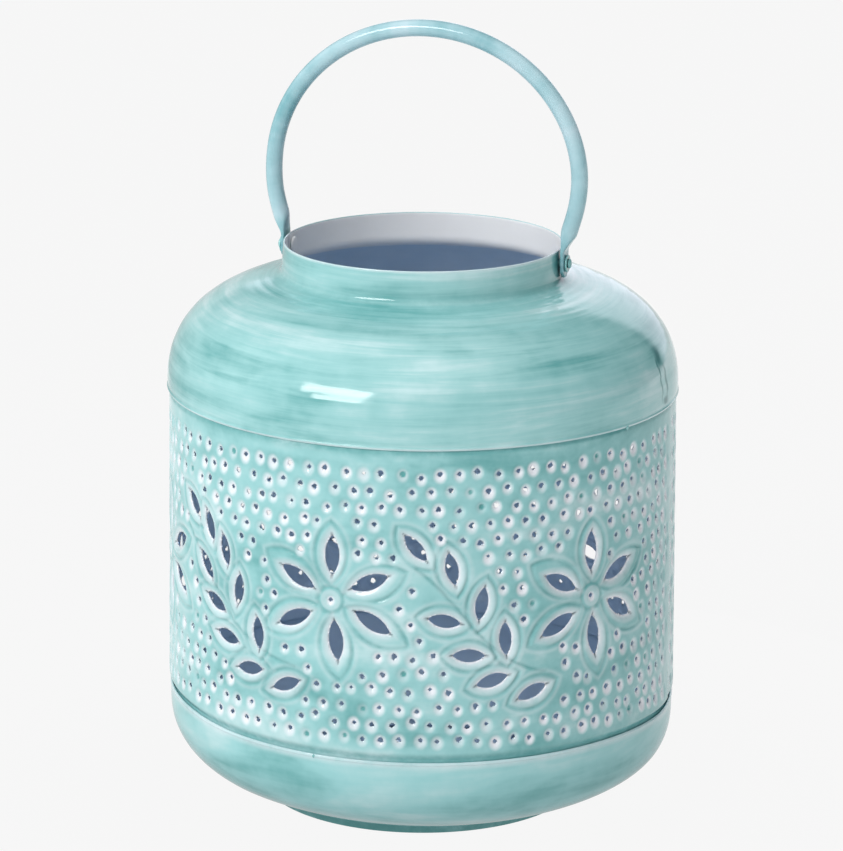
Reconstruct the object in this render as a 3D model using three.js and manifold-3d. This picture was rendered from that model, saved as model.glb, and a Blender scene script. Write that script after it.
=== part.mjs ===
// Enamelled sheet-metal lantern in the shape of a wide-necked jar, with a swinging bail handle.
// Millimetres, +Z up. The origin is the middle of the underside; the handle's hinge line is along X.
import * as THREE from "three";
import { mergeVertices } from "three/addons/utils/BufferGeometryUtils.js";
import Module from "manifold-3d";

const wasm = await Module();
wasm.setup();

// ---------------------------------------------------------------- driving dimensions
const SHEET = 0.7; // sheet thickness of all three shells
const GAP = 0.3; // clearance where two pieces meet
const SEGMENTS = 48; // facets round every shell

const SHELL_R = 100.6; // outer radius of the top and bottom shells at their lips
const BAND_TOP_R = 100.0; // outer radius of the band under the top seam
const BAND_BOTTOM_R = 101.2; // the band flares slightly towards the bottom seam
const TUCK_R = SHELL_R - SHEET - GAP; // the band's two ends tuck inside the shells' lips
const TOP_SEAM_Z = 164.5;
const BOTTOM_SEAM_Z = 43.3;
const TUCK_LENGTH = 4; // overlap hidden behind each lip
const NECK_IN = 3.2; // height over which the band steps in at a seam

const NECK_TOP_Z = 222.3;
const NECK_TOP_R = 54.9;
const NECK_BASE_R = 55.5;
const FOOT_R = 64.0; // the stepped foot under the bowl
const FOOT_TOP_Z = 4.2;
const FOOT_TAPER = 0.6; // how far the foot draws in from its top to the ground

const PIVOT_Z = 217.6; // hinge line of the handle
const TUBE_R = 3.3;
const ARCH_CENTRE_Z = 249.0; // the handle's arch is an upright ellipse
const ARCH_HALF_WIDTH = 62.1;
const ARCH_HALF_HEIGHT = 57.35;
const EAR_X = 57.0; // mid-plane of the flattened ear
const EAR_THICKNESS = 1.5;
const EAR_WIDTH = 8.6;
const EAR_END_Z = PIVOT_Z - 5.3;
const EAR_TOP_Z = PIVOT_Z + 4.4; // the ear is flat below this height
const ROUND_Z = PIVOT_Z + 13.0; // the tube is fully round above this height
const LEG_OUT = 2.6; // how far the leg's middle stands outside the ear at that height

const SHANK_R = 1.5;
const HOLE_R = SHANK_R + GAP;
const WASHER_R = 3.4;
const WASHER_THICKNESS = 0.6;
const HEAD_R = 1.9;
const HEAD_HEIGHT = 1.0;
const TAIL_R = 3.0;
const TAIL_THICKNESS = 0.8;

const BAND_MEAN_R = (BAND_TOP_R + BAND_BOTTOM_R) / 2;
const FLOWER_LINE_Z = 103.5;
const FLOWER_STAGGER = 1.5; // alternate flowers sit this much above and below the line
const FIRST_FLOWER_DEG = -3; // measured round from the front, -Y, towards +X
const REPEAT_DEG = 120; // two flowers and two branches
const SHEET_JOINT_DEG = 92; // where the band's sheet is joined; no branch crosses it

// ---------------------------------------------------------------- materials
function enamel(colour) {
  return new THREE.MeshStandardMaterial({ color: colour, roughness: 0.18, metalness: 0.1 });
}
const shellEnamel = enamel(0x9fd3d2);
const bandEnamel = enamel(0xa9dcd6);
const handleEnamel = enamel(0xa4d2dc);
const rivetEnamel = enamel(0x86bfbf);

// ---------------------------------------------------------------- solids
function solidFrom(geometry) {
  const bare = geometry.index ? geometry.clone() : geometry;
  bare.deleteAttribute("normal");
  bare.deleteAttribute("uv");
  const merged = mergeVertices(bare, 1e-4);
  const corners = [];
  const index = merged.index.array;
  for (let i = 0; i < index.length; i += 3) {
    const [a, b, c] = [index[i], index[i + 1], index[i + 2]];
    if (a !== b && b !== c && c !== a) {
      corners.push(a, b, c);
    }
  }
  return new wasm.Manifold(
    new wasm.Mesh({
      numProp: 3,
      vertProperties: new Float32Array(merged.attributes.position.array),
      triVerts: new Uint32Array(corners),
    }),
  );
}

function geometryFrom(solid) {
  const mesh = solid.getMesh();
  const geometry = new THREE.BufferGeometry();
  geometry.setAttribute("position", new THREE.BufferAttribute(mesh.vertProperties, 3));
  geometry.setIndex(new THREE.BufferAttribute(mesh.triVerts, 1));
  geometry.computeVertexNormals();
  return geometry;
}

function named(name, geometry, material) {
  const mesh = new THREE.Mesh(geometry, material);
  mesh.name = name;
  return mesh;
}

// Turns a profile of (radius, height) points about +Z.
function turned(points, segments = SEGMENTS) {
  const lathe = new THREE.LatheGeometry(points, segments);
  lathe.rotateX(Math.PI / 2);
  return lathe;
}

// The same line moved sideways by a distance, to the left of its direction for a positive one.
function offset(points, distance) {
  return points.map((point, i) => {
    const before = points[Math.max(i - 1, 0)];
    const after = points[Math.min(i + 1, points.length - 1)];
    const along = after.clone().sub(before).normalize();
    return new THREE.Vector2(point.x - along.y * distance, point.y + along.x * distance);
  });
}

function cubic(corners, steps) {
  const [a, b, c, d] = corners.map(([r, z]) => new THREE.Vector2(r, z));
  return new THREE.CubicBezierCurve(a, b, c, d).getPoints(steps);
}

// A cylinder lying along X, from x0 to x1, at the height of the hinge line.
function pivotDisc(radius, x0, x1, sides = 16) {
  const disc = new THREE.CylinderGeometry(radius, radius, Math.abs(x1 - x0), sides);
  disc.rotateZ(Math.PI / 2);
  disc.translate((x0 + x1) / 2, 0, PIVOT_Z);
  return disc;
}

// ---------------------------------------------------------------- shells
function topShell() {
  const neck = [new THREE.Vector2(NECK_TOP_R, NECK_TOP_Z), new THREE.Vector2(NECK_BASE_R, 213)];
  const fillet = cubic([[NECK_BASE_R, 212.4], [NECK_BASE_R + 0.3, 210.4], [57.2, 209.2], [60, 208.5]], 2);
  const shoulder = cubic([[62.5, 208], [87, 202.6], [SHELL_R - 0.1, 190], [SHELL_R, 168]], 8);
  const outer = [...neck, ...fillet, ...shoulder, new THREE.Vector2(SHELL_R, TOP_SEAM_Z)];
  const inner = offset(outer, -SHEET).reverse();
  inner[0].y = TOP_SEAM_Z;
  inner[inner.length - 1].y = NECK_TOP_Z;
  const shell = solidFrom(turned([...outer, ...inner, outer[0]].reverse()));
  const holes = solidFrom(pivotDisc(HOLE_R, -2 * NECK_TOP_R, 2 * NECK_TOP_R, 16));
  return named("top_shell", geometryFrom(shell.subtract(holes)), shellEnamel);
}

function bottomShell() {
  const lip = [new THREE.Vector2(SHELL_R, BOTTOM_SEAM_Z)];
  const dish = cubic([[SHELL_R, 38.1], [SHELL_R, 21.7], [93.8, 10.7], [FOOT_R + FOOT_TAPER, FOOT_TOP_Z]], 8);
  const foot = [new THREE.Vector2(FOOT_R, FOOT_TOP_Z - 1), new THREE.Vector2(FOOT_R - FOOT_TAPER, 0)];
  const outer = [...lip, ...dish, ...foot];
  const inner = offset(outer, -SHEET);
  inner[0].y = BOTTOM_SEAM_Z;
  inner[inner.length - 1].set(FOOT_R - FOOT_TAPER - SHEET, SHEET);
  const loop = [new THREE.Vector2(0, 0), ...outer.reverse(), ...inner, new THREE.Vector2(0, SHEET)];
  return named("bottom_shell", geometryFrom(solidFrom(turned(loop))), shellEnamel);
}

// ---------------------------------------------------------------- perforated band
// One pointed opening, as a prism standing through the band. u runs round the band from the
// middle of a flower towards +X, w is height above the flower's middle, tilt is in degrees.
function lens({ flowerDeg, flowerZ, u, w, tilt, length, width }) {
  const half = length / 2;
  const shape = new THREE.Shape();
  shape.moveTo(-half, 0);
  shape.quadraticCurveTo(0, width, half, 0);
  shape.quadraticCurveTo(0, -width, -half, 0);
  const prism = new THREE.ExtrudeGeometry(shape, { depth: 10, bevelEnabled: false, curveSegments: 3 });
  prism.rotateZ(THREE.MathUtils.degToRad(tilt));
  const turn = THREE.MathUtils.degToRad(flowerDeg) + u / BAND_MEAN_R;
  const round = new THREE.Vector3(Math.cos(turn), Math.sin(turn), 0);
  const up = new THREE.Vector3(0, 0, 1);
  const out = new THREE.Vector3(Math.sin(turn), -Math.cos(turn), 0);
  const place = new THREE.Matrix4().makeBasis(round, up, out);
  place.setPosition(out.clone().multiplyScalar(BAND_MEAN_R - 6).setZ(flowerZ + w));
  prism.applyMatrix4(place);
  return prism;
}

// Petals: distance out from the flower's middle, direction of the petal, tilt of its opening.
const PETALS = [
  [17.3, 89, 90],
  [16.9, 27, 22],
  [18.0, -25, -30],
  [15.8, -83, -84],
  [17.9, 210, 25],
  [15.8, 153, -27],
];

// Leaves beside a flower: round the band, up, tilt. The short branch stands to the right of an
// even flower, and the long one to the left of it.
const SHORT_BRANCH = [
  [32.7, 21.8, -50], [46.5, 13.6, -78], [58.1, -0.4, 80], [67.6, -14.4, -87],
  [43.7, -6.5, -10], [53.2, -20, -3], [62.3, -30, 14], [78.7, -35.9, 20],
];
const LONG_BRANCH = [
  [-73.4, 23.8, -42], [-61.3, 18.4, -66], [-51.1, 10.7, -75], [-43, -3.4, 84], [-32.7, -18.4, -84],
  [-63.6, 1.9, -48], [-57.1, -11.4, -20], [-49.5, -23.4, -8], [-36.9, -33.1, 8], [-19.3, -35.8, 22],
];

function flowerOpenings(flowerDeg, flowerZ) {
  return PETALS.map(([reach, towards, tilt]) => {
    const angle = THREE.MathUtils.degToRad(towards);
    const u = reach * Math.cos(angle);
    const w = reach * Math.sin(angle);
    return lens({ flowerDeg, flowerZ, u, w, tilt, length: 15, width: 5.7 });
  });
}

function branchOpenings(leaves, flowerDeg, flowerZ) {
  return leaves.map(([u, w, tilt]) => lens({ flowerDeg, flowerZ, u, w, tilt, length: 12.2, width: 4.9 }));
}

function perforatedBand() {
  const outer = [
    new THREE.Vector2(TUCK_R, TOP_SEAM_Z + TUCK_LENGTH),
    new THREE.Vector2(TUCK_R, TOP_SEAM_Z - 0.4),
    new THREE.Vector2(BAND_TOP_R, TOP_SEAM_Z - NECK_IN),
    new THREE.Vector2(BAND_BOTTOM_R, BOTTOM_SEAM_Z + NECK_IN + 1.5),
    new THREE.Vector2(TUCK_R, BOTTOM_SEAM_Z + 0.4),
    new THREE.Vector2(TUCK_R, BOTTOM_SEAM_Z - TUCK_LENGTH),
  ];
  const inner = outer.map((point) => new THREE.Vector2(point.x - SHEET, point.y)).reverse();
  let band = solidFrom(turned([...outer, ...inner, outer[0]].reverse()));
  const high = FLOWER_LINE_Z + FLOWER_STAGGER;
  const low = FLOWER_LINE_Z - FLOWER_STAGGER;
  for (let start = FIRST_FLOWER_DEG; start < 360 + FIRST_FLOWER_DEG; start += REPEAT_DEG) {
    const openings = [
      ...flowerOpenings(start, high),
      ...flowerOpenings(start + REPEAT_DEG / 2, low),
      ...branchOpenings(SHORT_BRANCH, start, high),
    ];
    const clearOfJoint = SHEET_JOINT_DEG < start - REPEAT_DEG / 2 || SHEET_JOINT_DEG > start;
    if (clearOfJoint) {
      openings.push(...branchOpenings(LONG_BRANCH, start, high));
    }
    for (const opening of openings) {
      band = band.subtract(solidFrom(opening));
    }
  }
  return named("perforated_band", geometryFrom(band), bandEnamel);
}

// ---------------------------------------------------------------- handle
function smooth(low, high, value) {
  const t = Math.min(Math.max((value - low) / (high - low), 0), 1);
  return t * t * (3 - 2 * t);
}

// The centre line: up the right ear, over the arch and down the left one.
function handleCentreLine() {
  const leave = 0.22; // the angle below level where the legs leave the ellipse
  const legX = ARCH_HALF_WIDTH * Math.cos(leave);
  const legZ = ARCH_CENTRE_Z - ARCH_HALF_HEIGHT * Math.sin(leave);
  const slope = new THREE.Vector2(
    ARCH_HALF_WIDTH * Math.sin(leave),
    ARCH_HALF_HEIGHT * Math.cos(leave),
  ).normalize();
  const points = [];
  const ear = new THREE.CubicBezierCurve(
    new THREE.Vector2(EAR_X, EAR_TOP_Z - 1),
    new THREE.Vector2(EAR_X, EAR_TOP_Z + 3),
    new THREE.Vector2(legX - 5 * slope.x, legZ - 5 * slope.y),
    new THREE.Vector2(legX, legZ),
  );
  points.push(new THREE.Vector3(EAR_X, 0, EAR_END_Z));
  points.push(new THREE.Vector3(EAR_X, 0, PIVOT_Z));
  for (const point of ear.getPoints(6)) {
    points.push(new THREE.Vector3(point.x, 0, point.y));
  }
  const arcSteps = 20;
  for (let i = 1; i <= arcSteps; i += 1) {
    const angle = -leave + ((Math.PI / 2 + leave) * i) / arcSteps;
    const x = ARCH_HALF_WIDTH * Math.cos(angle);
    points.push(new THREE.Vector3(x, 0, ARCH_CENTRE_Z + ARCH_HALF_HEIGHT * Math.sin(angle)));
  }
  const mirrored = points.slice(0, -1).reverse();
  return [...points, ...mirrored.map((point) => new THREE.Vector3(-point.x, 0, point.z))];
}

// A path through given points with no rounding between them, evenly stepped from one to the next.
class Polyline extends THREE.Curve {
  constructor(points) {
    super();
    this.points = points;
  }
  getPoint(t, target = new THREE.Vector3()) {
    const place = t * (this.points.length - 1);
    const i = Math.min(Math.floor(place), this.points.length - 2);
    return target.lerpVectors(this.points[i], this.points[i + 1], place - i);
  }
  getPointAt(t, target) {
    return this.getPoint(t, target);
  }
  getSpacedPoints(divisions) {
    return Array.from({ length: divisions + 1 }, (_, i) => this.getPoint(i / divisions));
  }
}

function tubeSection() {
  const sides = 10;
  const shape = new THREE.Shape();
  for (let i = 0; i < sides; i += 1) {
    const angle = (2 * Math.PI * (i + 0.5)) / sides;
    const radius = TUBE_R / Math.cos(Math.PI / sides);
    shape[i === 0 ? "moveTo" : "lineTo"](radius * Math.cos(angle), radius * Math.sin(angle));
  }
  shape.closePath();
  return shape;
}

// The round tube is pressed flat between the arch and the ear.
function pinch(geometry) {
  const position = geometry.attributes.position;
  for (let i = 0; i < position.count; i += 1) {
    const z = position.getZ(i);
    const side = Math.sign(position.getX(i));
    const flat = 1 - smooth(EAR_TOP_Z, ROUND_Z, z);
    if (flat > 0 && z < ROUND_Z) {
      const middle = side * (EAR_X + LEG_OUT * (1 - flat));
      const thin = 1 + (EAR_THICKNESS / (2 * TUBE_R) - 1) * flat;
      const wide = 1 + (EAR_WIDTH / (2 * TUBE_R) - 1) * flat;
      position.setX(i, middle + (position.getX(i) - middle) * thin);
      position.setY(i, position.getY(i) * wide);
    }
  }
  return geometry;
}

// Cuts the ears' lower corners off at 45 degrees.
function cornerCutter(side) {
  const shape = new THREE.Shape();
  const half = EAR_WIDTH / 2;
  const corner = 2.6;
  shape.moveTo(side * (half - corner), EAR_END_Z - 1);
  shape.lineTo(side * (half - corner), EAR_END_Z);
  shape.lineTo(side * (half + 1), EAR_END_Z + corner + 1);
  shape.lineTo(side * (half + 1), EAR_END_Z - 1);
  shape.closePath();
  const cutter = new THREE.ExtrudeGeometry(shape, { depth: 4 * EAR_X, bevelEnabled: false });
  cutter.translate(0, 0, -2 * EAR_X);
  const turn = new THREE.Matrix4().makeBasis(
    new THREE.Vector3(0, 1, 0),
    new THREE.Vector3(0, 0, 1),
    new THREE.Vector3(1, 0, 0),
  );
  cutter.applyMatrix4(turn);
  return solidFrom(cutter);
}

function handle() {
  const points = handleCentreLine();
  const path = new Polyline(points);
  const tube = new THREE.ExtrudeGeometry(tubeSection(), { steps: points.length - 1, extrudePath: path });
  let solid = solidFrom(pinch(tube));
  solid = solid.subtract(cornerCutter(1)).subtract(cornerCutter(-1));
  solid = solid.subtract(solidFrom(pivotDisc(HOLE_R, -2 * EAR_X, 2 * EAR_X, 16)));
  return named("handle", geometryFrom(solid), handleEnamel);
}

// ---------------------------------------------------------------- rivets and washers
const WASHER_X = EAR_X + EAR_THICKNESS / 2 + GAP; // inner face of the washer
const HEAD_X = WASHER_X + WASHER_THICKNESS + GAP; // underside of the rivet's head
const TAIL_X = NECK_TOP_R - SHEET - GAP; // face of the tail towards the neck wall

// A shank with a domed head outside the ear and a flattened tail inside the neck, turned about X.
function rivet(side) {
  const dome = [];
  const domeSteps = 3;
  for (let i = 0; i <= domeSteps; i += 1) {
    const angle = (Math.PI / 2) * (1 - i / domeSteps);
    const along = HEAD_X + 0.25 + (HEAD_HEIGHT - 0.25) * Math.sin(angle);
    dome.push(new THREE.Vector2(HEAD_R * Math.cos(angle), along));
  }
  dome[0].x = 0;
  const profile = [
    ...dome,
    new THREE.Vector2(HEAD_R, HEAD_X),
    new THREE.Vector2(SHANK_R, HEAD_X),
    new THREE.Vector2(SHANK_R, TAIL_X),
    new THREE.Vector2(TAIL_R, TAIL_X),
    new THREE.Vector2(TAIL_R, TAIL_X - TAIL_THICKNESS + 0.2),
    new THREE.Vector2(TAIL_R - 0.2, TAIL_X - TAIL_THICKNESS),
    new THREE.Vector2(0, TAIL_X - TAIL_THICKNESS),
  ].reverse();
  const geometry = new THREE.LatheGeometry(profile, 16);
  geometry.rotateZ((-side * Math.PI) / 2);
  geometry.translate(0, 0, PIVOT_Z);
  return geometryFrom(solidFrom(geometry));
}

function washer(side) {
  const ring = solidFrom(pivotDisc(WASHER_R, side * WASHER_X, side * (WASHER_X + WASHER_THICKNESS), 20));
  const hole = solidFrom(pivotDisc(HOLE_R, side * (WASHER_X - 1), side * (WASHER_X + 2), 16));
  return geometryFrom(ring.subtract(hole));
}

// ---------------------------------------------------------------- assembly
const lantern = new THREE.Group();
lantern.add(topShell());
lantern.add(perforatedBand());
lantern.add(bottomShell());
lantern.add(handle());
for (const [name, side] of [["left", -1], ["right", 1]]) {
  lantern.add(named(`rivet_${name}`, rivet(side), rivetEnamel));
  lantern.add(named(`washer_${name}`, washer(side), rivetEnamel));
}

export default lantern;
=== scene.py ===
import math

import bpy
import numpy as np
from mathutils import Matrix, Vector

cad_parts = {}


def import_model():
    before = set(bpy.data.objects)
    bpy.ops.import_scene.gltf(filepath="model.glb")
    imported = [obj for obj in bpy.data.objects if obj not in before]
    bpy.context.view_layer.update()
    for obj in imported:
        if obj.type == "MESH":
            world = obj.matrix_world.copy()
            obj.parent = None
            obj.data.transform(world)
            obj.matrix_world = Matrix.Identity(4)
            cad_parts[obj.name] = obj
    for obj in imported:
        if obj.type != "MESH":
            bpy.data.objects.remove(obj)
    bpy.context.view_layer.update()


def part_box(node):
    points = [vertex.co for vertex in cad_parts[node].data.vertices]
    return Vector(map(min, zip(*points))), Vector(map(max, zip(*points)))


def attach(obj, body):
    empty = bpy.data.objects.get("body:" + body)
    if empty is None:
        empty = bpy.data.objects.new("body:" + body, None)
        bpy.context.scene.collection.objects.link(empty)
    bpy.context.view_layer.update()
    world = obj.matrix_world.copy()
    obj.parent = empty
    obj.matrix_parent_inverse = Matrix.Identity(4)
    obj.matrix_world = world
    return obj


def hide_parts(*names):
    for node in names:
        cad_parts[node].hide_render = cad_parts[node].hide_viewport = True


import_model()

# The lantern is built in millimetres round the CAD frame's sizes; MM turns them into metres.
MM = 0.001
TAU = 2 * math.pi


def top_of(node):
    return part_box(node)[1] / MM


def bottom_of(node):
    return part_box(node)[0] / MM


# ---------------------------------------------------------------- sizes, in millimetres
SHEET = 0.7
BAND_SHEET = 0.6
SHELL_R = top_of("top_shell").x
TOP_SEAM = bottom_of("top_shell").z
RIM_Z = top_of("top_shell").z
RIM_R = 54.9
NECK_BASE_R = 55.5
BOTTOM_SEAM = top_of("bottom_shell").z
FOOT_R = 64.0
FOOT_TOP = 4.2
# Height where the inside's painted shade gives way to the lit copy of the paint in the neck.
LIT_NECK_Z = 206.0
CAP_POINTS = 5
TOP_SHELL_COLUMNS = 720
BOTTOM_SHELL_COLUMNS = 600
OUTLINE_STEP = 0.9

BAND_LOW = bottom_of("perforated_band").z
BAND_HIGH = top_of("perforated_band").z
BAND_BOTTOM_R = top_of("perforated_band").x
BAND_TOP_R = 100.0
TUCK_R = SHELL_R - SHEET - 0.3
BAND_R = (BAND_BOTTOM_R + BAND_TOP_R) / 2
BAND_COLUMNS = 1088
BAND_STEP = 0.56
PIT_ROWS = 17
PIT_PITCH = 7.35
PIT_LOW, PIT_HIGH = 52.2, 155.0
PIT_CLEARANCE = 2.5
# Heights of the painted shade on the band: in the step above the lower seam and under the top shell's lip.
LOWER_SEAM_SHADE_Z, UPPER_LIP_SHADOW_Z = 45.2, 163.2

PIVOT_Z = (top_of("washer_right").z + bottom_of("washer_right").z) / 2
EAR_X = 57.0
EAR_THICKNESS = 1.5
EAR_WIDTH = top_of("handle").y * 2
EAR_END = bottom_of("handle").z
EAR_TOP = PIVOT_Z + 4.4
ROUND_Z = PIVOT_Z + 13.0
TUBE_R = 3.3
ARCH_HALF_WIDTH = top_of("handle").x - TUBE_R
ARCH_TOP = top_of("handle").z - TUBE_R
ARCH_CENTRE_Z = 249.0
ARCH_HALF_HEIGHT = ARCH_TOP - ARCH_CENTRE_Z
LEG_OUT = 2.6
EAR_ROUNDING = 2.6
HANDLE_LEAN = 0.6
RIVET_SHANK_R = 1.5
WASHER_BORE_R = 1.8

FLOWER_Z = 103.5
FLOWER_STAGGER = 1.5
FIRST_FLOWER = math.radians(-3)
REPEAT = math.radians(120)
JOINT = math.radians(92)
NECK_JOINT = math.radians(-85)

# How far the two seams stray from level round the body: angle from the front, then height.
LOWER_STRAY = (
    (-75, 1.3), (-50, 1.1), (-32, -0.2), (-12, -0.8), (5, -1.3), (30, -1.6), (60, -1.8),
    (78, -2.7), (91, -3.9), (100, -2.6), (130, -1.2), (190, 0.2), (240, 1.0), (285, 1.3),
)
UPPER_STRAY = (
    (-90, 0.6), (-60, 1.1), (-30, 1.1), (-10, 0.8), (15, 0.4),
    (60, 0.35), (90, 0.0), (180, 0.0), (270, 0.6),
)
# How far the lower half of the bowl is pressed up out of true, in the same way.
BOWL_STRAY = (
    (-90, 1.2), (-60, 1.5), (-20, 1.6), (5, 0.9), (30, 0.4),
    (70, 0.4), (120, 0.0), (200, 0.0), (250, 0.6),
)

# Places near the joint where the top shell's enamel ran thick: angle, height, half width, half height.
ENAMEL_RUNS = (
    (85.5, 185.5, 2.6, 3.4), (87.0, 175.5, 0.9, 5.5), (86.0, 168.0, 2.4, 1.5), (83.8, 177, 0.5, 8.0),
)

random = np.random.default_rng(20)


# ---------------------------------------------------------------- small helpers
def smooth(low, high, value):
    t = np.clip((value - low) / (high - low), 0, 1)
    return t * t * (3 - 2 * t)


def cubic(corners, count):
    """Points along a Bezier curve through its first and last corner."""
    t = np.linspace(0, 1, count)[:, None]
    a, b, c, d = np.array(corners, float)
    return (1 - t) ** 3 * a + 3 * (1 - t) ** 2 * t * b + 3 * (1 - t) * t * t * c + t**3 * d


def respaced(points, step):
    """The same line with its points an even distance apart."""
    points = np.array(points, float)
    lengths = np.hypot(*np.diff(points, axis=0).T)
    run = np.concatenate([[0], np.cumsum(lengths)])
    wanted = np.linspace(0, run[-1], max(2, int(round(run[-1] / step)) + 1))
    return np.stack([np.interp(wanted, run, points[:, k]) for k in range(points.shape[1])], 1)


def normals_of(line):
    """Unit normals on the right-hand side of a line that runs through (r, z) points."""
    along = np.gradient(line, axis=0)
    along /= np.hypot(*along.T)[:, None]
    return np.stack([along[:, 1], -along[:, 0]], 1)


def direction(angle):
    """The horizontal direction at an angle measured round from the front, -Y, towards +X."""
    return np.sin(angle), -np.cos(angle)


def mesh_object(name, points, quads, others=(), attributes=None, slots=None):
    """A mesh piece from arrays: points in millimetres, quads, and other faces of one size."""
    mesh = bpy.data.meshes.new(name)
    mesh.vertices.add(len(points))
    mesh.vertices.foreach_set("co", (np.asarray(points, np.float32) * MM).ravel())
    groups = [np.asarray(quads, np.int32)] + [np.asarray(g, np.int32) for g in others if len(g)]
    loops = np.concatenate([g.ravel() for g in groups])
    sizes = np.concatenate([np.full(len(g), g.shape[1]) for g in groups])
    starts = np.concatenate([[0], np.cumsum(sizes)[:-1]])
    mesh.loops.add(len(loops))
    mesh.loops.foreach_set("vertex_index", loops)
    mesh.polygons.add(len(sizes))
    mesh.polygons.foreach_set("loop_start", starts.astype(np.int32))
    if slots is not None:
        mesh.polygons.foreach_set("material_index", np.asarray(slots, np.int32))
    mesh.update(calc_edges=True)
    for key, values in (attributes or {}).items():
        layer = mesh.attributes.new(key, "FLOAT", "POINT")
        layer.data.foreach_set("value", np.asarray(values, np.float32).ravel())
    mesh.validate()
    mesh.shade_smooth()
    piece = bpy.data.objects.new(name, mesh)
    bpy.context.scene.collection.objects.link(piece)
    return piece


def grid_quads(rows, columns, closed_rows=False):
    """Quads of a grid that closes round its columns, and round its rows too if asked."""
    i = np.arange(rows if closed_rows else rows - 1)
    j = np.arange(columns)
    i, j = np.meshgrid(i, j, indexing="ij")
    i2, j2 = (i + 1) % rows, (j + 1) % columns
    corners = [i * columns + j, i * columns + j2, i2 * columns + j2, i2 * columns + j]
    return np.stack(corners, -1).reshape(-1, 4)


def stray(table, angle):
    """A seam's height error at each angle, smoothly joined up from a short table."""
    degrees, heights = np.array(table, float).T
    around = np.arange(-90, 270, 2.0)
    level = np.interp(around, degrees, heights, period=360)
    level = sum(np.roll(level, k) for k in range(-3, 4)) / 7
    return np.interp(np.degrees(angle), around, level, period=360)


def waves(angle, run, seed, count=7, lengths=(4, 14)):
    """Gentle uneven rings round a turned shell, between about -1 and 1."""
    rng = np.random.default_rng(seed)
    total = np.zeros(np.broadcast(angle, run).shape)
    for _ in range(count):
        length = rng.uniform(*lengths)
        drift = rng.integers(1, 4)
        swing = rng.uniform(0.3, 1.3) * np.sin(drift * angle + rng.uniform(0, TAU))
        fade = 0.6 + 0.4 * np.sin(rng.integers(1, 3) * angle + rng.uniform(0, TAU))
        total += fade * np.sin(TAU * run / length + swing + rng.uniform(0, TAU))
    return total / count


# ---------------------------------------------------------------- materials
class Nodes:
    """A short way to write a node tree."""

    def __init__(self, tree):
        self.tree = tree

    def link(self, value, socket):
        if isinstance(value, bpy.types.NodeSocket):
            self.tree.links.new(value, socket)
        else:
            socket.default_value = value

    def add(self, kind, inputs, output=0, **settings):
        node = self.tree.nodes.new(kind)
        for key, value in settings.items():
            setattr(node, key, value)
        for key, value in inputs.items():
            self.link(value, node.inputs[key])
        return node.outputs[output]

    def split(self, vector):
        node = self.tree.nodes.new("ShaderNodeSeparateXYZ")
        self.link(vector, node.inputs[0])
        return node.outputs

    def math(self, operation, a, b=0.0, clamp=False):
        return self.add("ShaderNodeMath", {0: a, 1: b}, operation=operation, use_clamp=clamp)

    def noise(self, vector, scale, detail=3.0, roughness=0.55, distortion=0.0):
        inputs = {
            "Vector": vector, "Scale": scale, "Detail": detail,
            "Roughness": roughness, "Distortion": distortion,
        }
        return self.add("ShaderNodeTexNoise", inputs)

    def remap(self, value, low, high, to_low=0.0, to_high=1.0):
        inputs = {"Value": value, "From Min": low, "From Max": high, "To Min": to_low, "To Max": to_high}
        return self.add("ShaderNodeMapRange", inputs, interpolation_type="SMOOTHSTEP")

    def mix(self, factor, a, b):
        node = self.tree.nodes.new("ShaderNodeMix")
        node.data_type = "RGBA"
        self.link(factor, node.inputs[0])
        self.link(a, node.inputs[6])
        self.link(b, node.inputs[7])
        return node.outputs[2]

    def attribute(self, name):
        return self.add("ShaderNodeAttribute", {}, output=2, attribute_name=name)

    def bump(self, height, distance, strength, normal=None):
        inputs = {"Height": height, "Distance": distance, "Strength": strength}
        if normal is not None:
            inputs["Normal"] = normal
        return self.add("ShaderNodeBump", inputs)


class MaterialNodes(Nodes):
    """The node tree of a new material, with its shader at hand."""

    def __init__(self, name):
        self.material = bpy.data.materials.new(name)
        self.material.use_nodes = True
        super().__init__(self.material.node_tree)
        self.shader = self.tree.nodes["Principled BSDF"]


# DEEP also serves as painted shade, WHITE also as painted highlight and CREASE also as painted shadow, where
# the enamel's attributes mix them in.
DEEP = (0.10, 0.36, 0.36, 1)
AQUA = (0.315, 0.605, 0.61, 1)
BOWL_AQUA = (0.315, 0.63, 0.645, 1)
BAND_AQUA = (0.30, 0.60, 0.61, 1)
PALE = (0.57, 0.77, 0.79, 1)
WHITE = (0.83, 0.86, 0.91, 1)
CREASE = (0.03, 0.09, 0.11, 1)
# Painted shade and light on the inside: a darker, bluer copy of the inner paint for the body and a lit
# whitish copy for the neck.
SHADED_INSIDE = ((0.60, 0.745, 0.91, 1), (0.69, 0.81, 0.95, 1))
LIT_NECK_INSIDE = ((0.92, 0.925, 0.94, 1), (0.96, 0.965, 0.975, 1))
INNER_CREASE = (0.16, 0.20, 0.26, 1)
HANDLE_COLOURS = {
    "deep": (0.17, 0.41, 0.46, 1), "aqua": (0.39, 0.61, 0.67, 1), "pale": (0.57, 0.72, 0.79, 1),
}


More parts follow.
